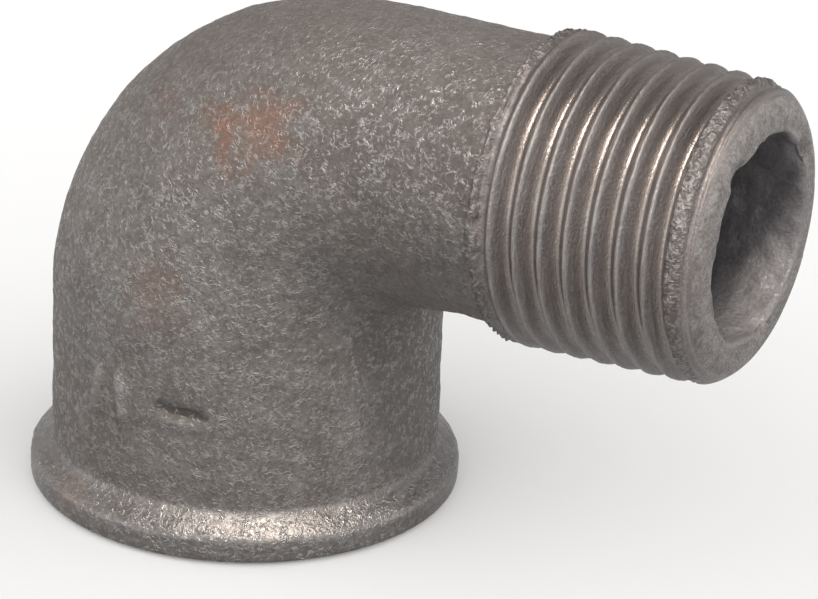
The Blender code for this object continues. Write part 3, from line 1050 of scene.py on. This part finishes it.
@dataclass
class Casting:
    """The elbow's one casting: a beaded socket, a bend, a threaded spigot, and the passage through them."""

    bead_radius: float
    male_face: float
    spigot_height: float
    thread_major_radius: float = 20.955 * MM / 2
    thread_depth: float = 1.1617 * MM
    bead_projection: float = 1.65 * MM
    bead_edge: float = 0.3 * MM
    bead_side: float = 1.5 * MM
    bead_shoulder: float = 1.95 * MM
    draft: float = 0.12 * MM
    crotch: float = 2.6 * MM
    heel_fullness: float = 1.1 * MM
    passage_crotch: float = 3.0 * MM
    passage_heel_fullness: float = 0.5 * MM
    bend_ease: float = 0.88
    web: float = 0.5 * MM
    web_length: float = 3.6 * MM
    neck_length: float = 6.87 * MM
    neck_step: float = 0.78 * MM
    gauge_length: float = 8.2 * MM
    taper: float = 1 / 32
    end_land: float = 1.13 * MM
    end_length: float = 1.9 * MM
    spigot_wall: float = 2.06 * MM
    bore_edge: float = 0.25 * MM
    mouth_clearance: float = 0.5 * MM
    plain_bore: float = 4.15 * MM
    columns: int = 256
    row: float = 0.38 * MM
    thread_gap: float = 0.07 * MM
    face_rim: float = 0.5 * MM
    sand_start: float = 0.1 * MM
    sand_fade: float = 0.8 * MM
    core_fade: float = 1.5 * MM
    bend_steps: int = 68
    passage_steps: int = 30

    def __post_init__(self) -> None:
        """Works the other sizes out."""
        self.body_radius = self.bead_radius - self.bead_projection
        self.body_top = self.body_radius - self.draft
        self.thread_minor = self.thread_major_radius - self.thread_depth
        self.end_crest = self.thread_major_radius - self.gauge_length * self.taper
        self.bore = self.end_crest - self.thread_depth - self.spigot_wall
        self.face_radius = self.bore + self.bore_edge + self.end_land
        self.thread_start = self.body_top + self.crotch + self.neck_length
        self.thread_length = self.male_face - self.thread_start
        self.neck = self.end_crest + self.thread_length * self.taper - self.neck_step
        self.passage_start = self.spigot_height - self.bore - self.passage_crotch
        self.female_stop = self.passage_start - self.plain_bore
        self.mouth_radius = self.thread_major_radius + self.mouth_clearance
        self.male = PipeThread(
            mark=Mark.MALE, external=True, origin=Vector((self.male_face, 0, self.spigot_height)),
            axis=Vector((-1, 0, 0)), zero=Vector((0, 0, -1)), crest_radius=self.end_crest, taper=self.taper,
            stop=self.thread_length, plain_radius=self.neck, step_length=0.4 * MM,
            end_length=self.end_length, face_radius=self.face_radius, end_roundness=1.6, phase=0.14,
            swell=0.22 * MM, wander=0.34 * MM, burr_height=0.26 * MM, end_flat=0.4 * MM, lean=0.06,
            cast_from=self.thread_length - 0.5 * MM,
        )
        self.female = PipeThread(
            mark=Mark.FEMALE, external=False, origin=Vector((0, 0, 0)), axis=Vector((0, 0, 1)),
            zero=Vector((1, 0, 0)), crest_radius=self.thread_minor, taper=0.0, stop=self.female_stop,
            plain_radius=self.thread_minor, step_length=0.3 * MM,
            end_length=self.mouth_radius - self.thread_minor, face_radius=self.mouth_radius,
            end_roundness=1.0, phase=0.28, seed=5,
            shares=(0.0, 0.13, 0.27, 0.38, 0.46, 0.54, 0.62, 0.73, 0.87),
        )

    def angles(self, columns: int) -> list[float]:
        """The angles of so many columns."""
        return [2 * math.pi * column / columns for column in range(columns)]

    def socket_ring(
        self, skin: Skin, height: float, radius: float, columns: int, marks: Mapping[Mark, float]
    ) -> Ring:
        """Adds a ring about the socket's axis.

        Args:
            skin: The skin that gets it.
            height: Its height.
            radius: Its radius.
            columns: How many points it has.
            marks: What its points carry.

        Returns:
            The ring.
        """
        return [
            skin.point(Vector((radius * math.cos(angle), radius * math.sin(angle), height)), marks)
            for angle in self.angles(columns)
        ]

    def spigot_ring(
        self, skin: Skin, reach: float, radius: float, columns: int, marks: Mapping[Mark, float]
    ) -> Ring:
        """Adds a ring about the spigot's axis, whose first point is straight down.

        Args:
            skin: The skin that gets it.
            reach: Its distance from the socket's axis.
            radius: Its radius.
            columns: How many points it has.
            marks: What its points carry.

        Returns:
            The ring.
        """
        ring = []
        for angle in self.angles(columns):
            height = self.spigot_height - radius * math.cos(angle)
            ring.append(skin.point(Vector((reach, radius * math.sin(angle), height)), marks))
        return ring

    def bend_rings(
        self, skin: Skin, crotch: float, start: float, end: float, fullness: float, steps: int, columns: int,
        marks: Mapping[Mark, float], web: float = 0.0,
    ) -> list[Ring]:
        """Adds the rings that turn from the socket's limb into the spigot's, about a pivot in the crotch.

        Args:
            skin: The skin that gets them.
            crotch: The crotch's radius.
            start: The radius where the bend leaves the socket.
            end: The radius where it meets the spigot.
            fullness: How far the heel stands out past a plain bend.
            steps: How many stretches it has.
            columns: How many points each ring has.
            marks: What the points carry.
            web: How much thicker the crotch's side gets towards the spigot.

        Returns:
            The rings, from the socket to the spigot.
        """
        pivot = Vector((start + crotch, 0, self.spigot_height - end - crotch))
        rings = []
        for step in range(steps + 1):
            swing = QUARTER_TURN * step / steps
            away = Vector((-math.cos(swing), 0, math.sin(swing)))
            half_width = start + (end - start) * eased((step / steps) ** self.bend_ease)
            half_reach = half_width + fullness * math.sin(2 * swing) ** 2 / 2
            centre = pivot + away * (crotch + half_reach)
            thicker = web * eased(step / steps)
            ring = []
            for angle in self.angles(columns):
                inward = half_reach * math.cos(angle) + thicker * self.downward(angle)
                across = Vector((0, half_width * math.sin(angle), 0))
                ring.append(skin.point(centre - away * inward + across, marks))
            rings.append(ring)
        return rings

    @staticmethod
    def downward(angle: float) -> float:
        """How much an angle about the spigot's axis looks down: 1 straight down, 0 sideways or up."""
        return max(0.0, math.cos(angle)) ** 2

    def bead_profile(self) -> list[tuple[float, float]]:
        """Works out the bead's outline: its rounded edge, its side and its shoulder.

        Returns:
            (height, radius) pairs from the end face over the bead to the body.
        """
        profile = []
        for step in range(5):
            turn = QUARTER_TURN * step / 4
            height = self.bead_edge * (1 - math.cos(turn))
            profile.append((height, self.bead_radius - self.bead_edge * (1 - math.sin(turn))))
        for step in range(1, 4):
            profile.append((self.bead_edge + (self.bead_side - self.bead_edge) * step / 3, self.bead_radius))
        for step in range(1, 13):
            share = step / 12
            radius = self.bead_radius + (self.body_radius - self.bead_radius) * eased(share)
            profile.append((self.bead_side + self.bead_shoulder * share, radius))
        return profile

    def rows(self, start: float, stop: float) -> list[float]:
        """Even places after start, up to and with stop, about one row apart."""
        count = max(1, round(abs(stop - start) / self.row))
        return [start + (stop - start) * step / count for step in range(1, count + 1)]

    def thread_skin(
        self, skin: Skin, thread: PipeThread, first: Ring, last: Ring, stop: float,
        zone: Callable[[float], Zone],
    ) -> None:
        """Weaves the threaded stretch of one limb.

        Args:
            skin: The skin that gets it.
            thread: The thread.
            first: The ring at the end face.
            last: The ring where the stretch ends.
            stop: That ring's distance from the end face.
            zone: Gives the zone at a distance from the end face.
        """
        count = len(first)
        angles = self.angles(count)
        turned = angles if thread.axis.cross(thread.zero).y > 0 else [-angle for angle in angles]
        columns = []
        for angle, start_point, stop_point in zip(turned, first, last):
            middle = thread.column(skin, angle % (2 * math.pi), 0.0, stop, self.thread_gap)
            columns.append([(0.0, start_point), *middle, (stop, stop_point)])
        rise = thread.pitch / count * (1 if turned is angles else -1)
        for number, column in enumerate(columns):
            skin.zip(column, columns[(number + 1) % count], rise, zone)

    def weave(self) -> bpy.types.Mesh:
        """Weaves the whole skin, with its threads still to be cut.

        Returns:
            The mesh, one closed body.
        """
        skin, many, few = Skin(), self.columns, self.columns // 2
        sand, core = {Mark.SAND: 1.0}, {Mark.CORE: 1.0}

        # Up the outside: bead, body, bend and neck.
        outside = []
        for height, radius in self.bead_profile():
            marks = {Mark.SAND: eased((height - self.sand_start) / self.sand_fade)}
            outside.append(self.socket_ring(skin, height, radius, many, marks))
        bend_start = self.spigot_height - self.neck - self.crotch
        shoulder_top = self.bead_side + self.bead_shoulder
        for height in self.rows(shoulder_top, bend_start)[:-1]:
            share = (height - shoulder_top) / (bend_start - shoulder_top)
            outside.append(self.socket_ring(skin, height, self.body_radius - self.draft * share, many, sand))
        outside += self.bend_rings(
            skin, self.crotch, self.body_top, self.neck, self.heel_fullness,
            self.bend_steps, many, sand, self.web,
        )
        neck_end = self.thread_start - self.male.pitch / 2
        for reach in self.rows(self.body_top + self.crotch, neck_end):
            ring = self.spigot_ring(skin, reach, self.neck, many, sand)
            fading = max(0.0, 1 - (reach - self.body_top - self.crotch) / self.web_length) ** 2
            for number, angle in zip(ring, self.angles(many)):
                skin.points[number].z -= self.web * fading * self.downward(angle)
            outside.append(ring)
        for first, second in zip(outside, outside[1:]):
            skin.band(first, second, Zone.CAST)

        # The male thread, and across the end face to the bore's ragged mouth.
        face_edge = self.spigot_ring(skin, self.male_face, self.face_radius, many, {})
        cast_from = self.thread_length - 0.05 * MM

        def male_zone(along: float) -> Zone:
            """The rounded end is faced, the thread is cut, and the neck's end is cast.

            Args:
                along: A distance from the end face.

            Returns:
                The zone there.
            """
            if along < self.face_rim:
                return Zone.FACED
            return Zone.THREAD if along < cast_from else Zone.CAST

        self.thread_skin(skin, self.male, face_edge, outside[-1], self.male_face - neck_end, male_zone)
        ring = face_edge
        for share in (0.25, 0.5, 0.75, 0.95):
            radius = self.face_radius + (self.bore + self.bore_edge - self.face_radius) * share
            inner = self.spigot_ring(skin, self.male_face, radius, many, {Mark.MOUTH: 0.0})
            skin.band(ring, inner, Zone.FACED)
            ring = inner
        mouth = self.spigot_ring(skin, self.male_face, self.bore + self.bore_edge, few, {Mark.MOUTH: 0.5})
        skin.halve(ring, mouth, Zone.FACED)
        ring = mouth
        # Each is (distance back and extra radius in millimetres, how ragged it is).
        mouth_steps = (
            (0.05, 0.14, 0.8), (0.12, 0.06, 1.0), (0.25, 0.0, 1.0), (0.5, 0.0, 0.8), (0.8, 0.0, 0.4),
        )
        for back, grow, ragged in mouth_steps:
            marks = {Mark.MOUTH: ragged, Mark.CORE: 1 - ragged}
            inner = self.spigot_ring(skin, self.male_face - back * MM, self.bore + grow * MM, few, marks)
            skin.band(ring, inner, Zone.CORED)
            ring = inner

        # Back through the bore and round the passage to the socket's thread.
        passage = self.bend_rings(
            skin, self.passage_crotch, self.thread_minor, self.bore, self.passage_heel_fullness,
            self.passage_steps, few, core,
        )
        bore_end = self.thread_minor + self.passage_crotch
        inside = [ring]
        for reach in self.rows(self.male_face - mouth_steps[-1][0] * MM, bore_end)[:-1]:
            inside.append(self.spigot_ring(skin, reach, self.bore, few, core))
        inside += reversed(passage)
        thread_end = self.female_stop + self.male.pitch / 4
        for height in self.rows(self.passage_start, thread_end):
            marks = {Mark.CORE: eased((height - thread_end) / self.core_fade)}
            inside.append(self.socket_ring(skin, height, self.thread_minor, few, marks))
        for first, second in zip(inside, inside[1:]):
            skin.band(first, second, Zone.CORED)

        # The female thread, and across the female end face to the bead.
        lip = self.socket_ring(skin, 0.0, self.mouth_radius, few, {})
        self.thread_skin(skin, self.female, lip, inside[-1], thread_end, lambda along: Zone.THREAD)
        rim_radius = self.bead_radius - self.bead_edge
        outer = outside[0]
        for share in (0.12, 0.3, 0.5, 0.7, 0.88):
            radius = rim_radius + (self.mouth_radius - rim_radius) * share
            inner = self.socket_ring(skin, 0.0, radius, many, {})
            skin.band(outer, inner, Zone.FACED)
            outer = inner
        skin.halve(outer, lip, Zone.FACED)
        return self.outward(skin.mesh("elbow_skin"))

    @staticmethod
    def outward(mesh: bpy.types.Mesh) -> bpy.types.Mesh:
        """Turns every face outwards.

        Args:
            mesh: The skin.

        Returns:
            The same mesh.
        """
        work = bmesh.new()
        work.from_mesh(mesh)
        bmesh.ops.recalc_face_normals(work, faces=work.faces[:])
        work.to_mesh(mesh)
        work.free()
        return mesh

    def build(self, finishes: Mapping[Zone, bpy.types.Material], sand: SandSkin) -> bpy.types.Object:
        """Makes the finished piece.

        Args:
            finishes: The material of each zone.
            sand: The skin that the mould leaves.

        Returns:
            The piece, riding on its body in place of its CAD node.
        """
        piece = bpy.data.objects.new("elbow_skin", self.weave())
        bpy.context.scene.collection.objects.link(piece)
        self.male.cut(piece, finishes)
        self.female.cut(piece, finishes)
        sand.cast(piece, finishes)
        piece.data.shade_smooth()
        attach(piece, BODY)
        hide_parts(CAD_NODE)
        triangles = sum(len(face.vertices) - 2 for face in piece.data.polygons)
        LOG.info("%s: %d triangles", piece.name, triangles)
        return piece


@dataclass
class Studio:
    """A pale floor, soft lights and the camera, placed about the elbow."""

    reference: Vector
    azimuth: float = 30.402
    elevation: float = 22.954
    roll: float = 2.636
    distance: float = 200.589 * MM
    slide: float = -4.706 * MM
    lift: float = 1.175 * MM
    lens: float = 122.55
    floor_half: float = 1.5
    floor_drop: float = 0.2 * MM
    wall_light: float = 3.3
    back_light: float = 0.7
    ceiling_light: float = 0.35
    back_wall: tuple[float, float] = (0.15, 0.75)
    ceiling: tuple[float, float] = (0.1, 1.0)
    tent_colour: Colour = (1.0, 0.99, 0.985)
    floor_grey: float = 0.965
    floor_roughness: float = 0.9
    floor_shine: float = 0.1
    key_place: tuple[float, float, float] = (109, -108, 334)
    key_size: tuple[float, float] = (68, 68)
    key_colour: Colour = (1.0, 0.93, 0.86)
    key_watts: float = 2.7

    def tent(self) -> bpy.types.World:
        """Makes the light tent's world, bright at the front and sides and dimmer behind and overhead.

        Returns:
            The world.
        """
        world = bpy.data.worlds.new("tent")
        world.use_nodes = True
        g = Graph(world.node_tree)
        background = world.node_tree.nodes["Background"]
        background.inputs["Color"].default_value = opaque(self.tent_colour)
        way = g.add("ShaderNodeTexCoord").outputs["Generated"]
        rise = g.add("ShaderNodeSeparateXYZ", {0: way}).outputs[2]
        azimuth = math.radians(self.azimuth)
        behind = g.measure("DOT_PRODUCT", way, (-math.sin(azimuth), math.cos(azimuth), 0.0))
        wall = g.blend(g.step(behind, *self.back_wall), self.wall_light, self.back_light)
        strength = g.blend(g.step(rise, *self.ceiling), wall, self.ceiling_light)
        g.feed(background.inputs["Strength"], strength)
        return world

    def camera(self) -> bpy.types.Object:
        """Places the camera and makes it the scene's.

        Returns:
            The camera.
        """
        azimuth, elevation, roll = (math.radians(a) for a in (self.azimuth, self.elevation, self.roll))
        flat = math.cos(elevation)
        back = Vector((math.sin(azimuth) * flat, -math.cos(azimuth) * flat, math.sin(elevation)))
        level = Vector((math.cos(azimuth), math.sin(azimuth), 0))
        upright = back.cross(level)
        right = level * math.cos(roll) + upright * math.sin(roll)
        up = upright * math.cos(roll) - level * math.sin(roll)
        data = bpy.data.cameras.new("camera")
        data.lens = self.lens
        data.sensor_width = 36
        data.clip_start, data.clip_end = 0.01, 20
        camera = bpy.data.objects.new("camera", data)
        place = self.reference + back * self.distance - right * self.slide - up * self.lift
        camera.matrix_world = Matrix.Translation(place) @ Matrix((right, up, back)).transposed().to_4x4()
        bpy.context.scene.collection.objects.link(camera)
        bpy.context.scene.camera = camera
        return camera

    def floor(self) -> bpy.types.Object:
        """Lays the floor just under the elbow.

        Returns:
            The floor.
        """
        half, level = self.floor_half, -self.floor_drop
        corners = [(-half, -half, level), (half, -half, level), (half, half, level), (-half, half, level)]
        mesh = bpy.data.meshes.new("floor")
        mesh.from_pydata(corners, [], [(0, 1, 2, 3)])
        paint = bpy.data.materials.new("floor_paint")
        paint.use_nodes = True
        shader = paint.node_tree.nodes["Principled BSDF"]
        shader.inputs["Base Color"].default_value = (self.floor_grey, self.floor_grey, self.floor_grey, 1)
        shader.inputs["Roughness"].default_value = self.floor_roughness
        shader.inputs["Specular IOR Level"].default_value = self.floor_shine
        mesh.materials.append(paint)
        floor = bpy.data.objects.new("floor", mesh)
        bpy.context.scene.collection.objects.link(floor)
        LOG.info("floor laid")
        return floor

    def lamp(
        self, name: str, place: Sequence[float], size: tuple[float, float], watts: float, colour: Colour,
        lit: bpy.types.Collection,
    ) -> None:
        """Hangs an area light that points at the elbow and leaves the floor as it is.

        Args:
            name: Its name.
            place: Where it hangs, in millimetres.
            size: Its width and height in millimetres.
            watts: Its power.
            colour: Its colour.
            lit: What it lights.
        """
        data = bpy.data.lights.new(name, "AREA")
        data.shape = "RECTANGLE"
        data.size, data.size_y = size[0] * MM, size[1] * MM
        data.energy = watts
        data.color = colour
        lamp = bpy.data.objects.new(name, data)
        lamp.location = Vector(place) * MM
        aim = self.reference - lamp.location
        lamp.rotation_euler = aim.to_track_quat("-Z", "Y").to_euler()
        lamp.light_linking.receiver_collection = lit
        bpy.context.scene.collection.objects.link(lamp)

    def build(self, elbow: bpy.types.Object) -> None:
        """Sets everything up.

        Args:
            elbow: The finished piece, which the lamps light.
        """
        lit = bpy.data.collections.new("lit_by_lamps")
        lit.objects.link(elbow)
        self.floor()
        self.camera()
        bpy.context.scene.world = self.tent()
        bpy.context.scene.view_settings.view_transform = "Standard"
        self.lamp("key", self.key_place, self.key_size, self.key_watts, self.key_colour, lit)
        LOG.info("studio ready")


def spigot_height(record: Mapping[str, Any]) -> float:
    """Finds the height of the spigot's axis: the middle of the opening that runs through it.

    Args:
        record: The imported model's record.

    Returns:
        The height.
    """
    opening = next(o for o in record["physics"]["openings"] if o["name"] == "male_bore")
    low, high = opening["box_m"]
    return (low[2] + high[2]) / 2


def main() -> None:
    """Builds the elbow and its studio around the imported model."""
    logging.basicConfig(level=logging.INFO, format="%(name)s: %(message)s")
    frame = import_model()
    low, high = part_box(CAD_NODE)

    casting = Casting(bead_radius=-low.x, male_face=high.x, spigot_height=spigot_height(frame["record"]))
    bars = (
        FoundryBar(-75.0, 10.4 * MM, 4.0 * MM, -7.0, width=0.85 * MM, relief=-0.5 * MM),
        FoundryBar(-75.0, 9.6 * MM, 3.6 * MM, -7.0, width=0.7 * MM, relief=0.14 * MM),
        FoundryBar(-94.0, 10.6 * MM, 3.9 * MM, 97.0, width=1.0 * MM, relief=0.36 * MM),
        FoundryBar(-103.0, 10.4 * MM, 3.9 * MM, 80.0, width=1.0 * MM, relief=0.42 * MM),
    )
    rust = (
        RustSpot((7.4, -11.3, 31.5), 4.0, 0.42), RustSpot((3.1, -12.2, 32.2), 3.6, 0.34),
        RustSpot((5.6, -12.7, 30.1), 3.0, 0.45), RustSpot((1.6, -14.4, 19.0), 3.4, 0.16),
        RustSpot((-1.5, -11.0, 33.5), 4.2, 0.28), RustSpot((-5.2, -14.9, 2.2), 2.6, 0.16),
    )
    nicks = (
        Nick((40.0, 5.6, 32.2), 1.5, 0.45), Nick((40.0, -4.6, 33.6), 1.2, 0.35),
        Nick((40.0, 1.8, 21.6), 1.3, 0.4),
    )
    finishes = {
        Zone.CAST: CastIron("cast_iron_skin", 0.8, rust=rust).build(),
        Zone.THREAD: CutThread("cut_thread", 0.8, across=(6.0, 0.3, 0.3)).build(),
        Zone.FACED: FacedIron("faced_iron", 0.8).build(),
        Zone.CORED: CoredIron("cored_bore", 0.6).build(),
    }
    elbow = casting.build(finishes, SandSkin(casting.body_radius, bars, nicks))
    Studio(reference=Vector((8.184 * MM, 0, casting.spigot_height * 0.6))).build(elbow)


if __name__ == "__main__":
    main()
